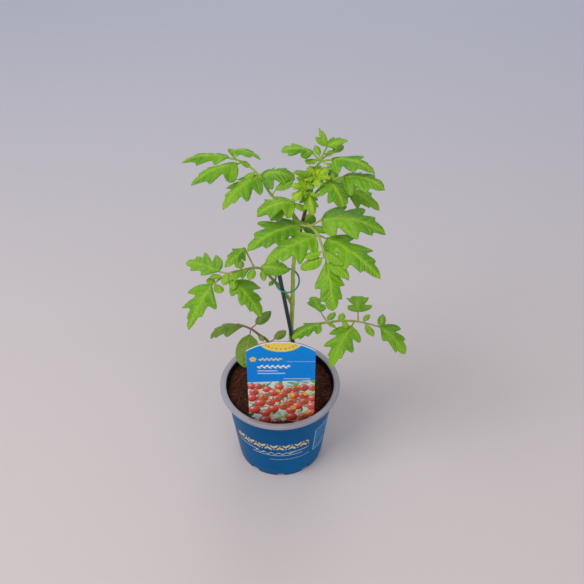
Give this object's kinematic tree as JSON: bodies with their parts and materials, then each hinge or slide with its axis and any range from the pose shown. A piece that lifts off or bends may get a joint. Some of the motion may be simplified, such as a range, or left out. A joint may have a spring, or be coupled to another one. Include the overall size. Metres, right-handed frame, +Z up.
{
  "type": "cherry tomato plant in a pot",
  "caption": "Young tomato plant with lobed compound leaves on one stem, ringed to a thin cane, in a round nursery pot of peat with a picture label.",
  "frame": {"origin": "centre of the flat underside of the pot, which stands on the floor", "axes": "+Z up along the pot's axis, -Y to the front where the picture label stands, +X to the right seen from the front"},
  "size_m": [0.2052, 0.1462, 0.3709],
  "materials": {
    "pot_plastic": "satin",
    "peat": "matte",
    "label_plastic": "gloss",
    "cane_wood": "satin",
    "ring_plastic": "satin",
    "stem": "satin",
    "leaf": "satin",
    "old_leaf": "satin",
    "young_leaf": "satin"
  },
  "bodies": {
    "root": {"pot": "pot_plastic", "soil": "peat", "plant_label": "label_plastic", "cane": "cane_wood", "ring_clip": "ring_plastic", "main_stem": "stem", "leaf_low_left": "old_leaf", "leaf_low_right": "leaf", "leaf_mid_left": "leaf", "leaf_mid_front": "leaf", "leaf_high_left": "leaf", "leaf_young_front": "leaf", "leaf_high_right": "leaf", "leaf_high_back": "leaf", "leaf_top": "leaf", "growing_tip": "young_leaf"}
  },
  "joints": []
}
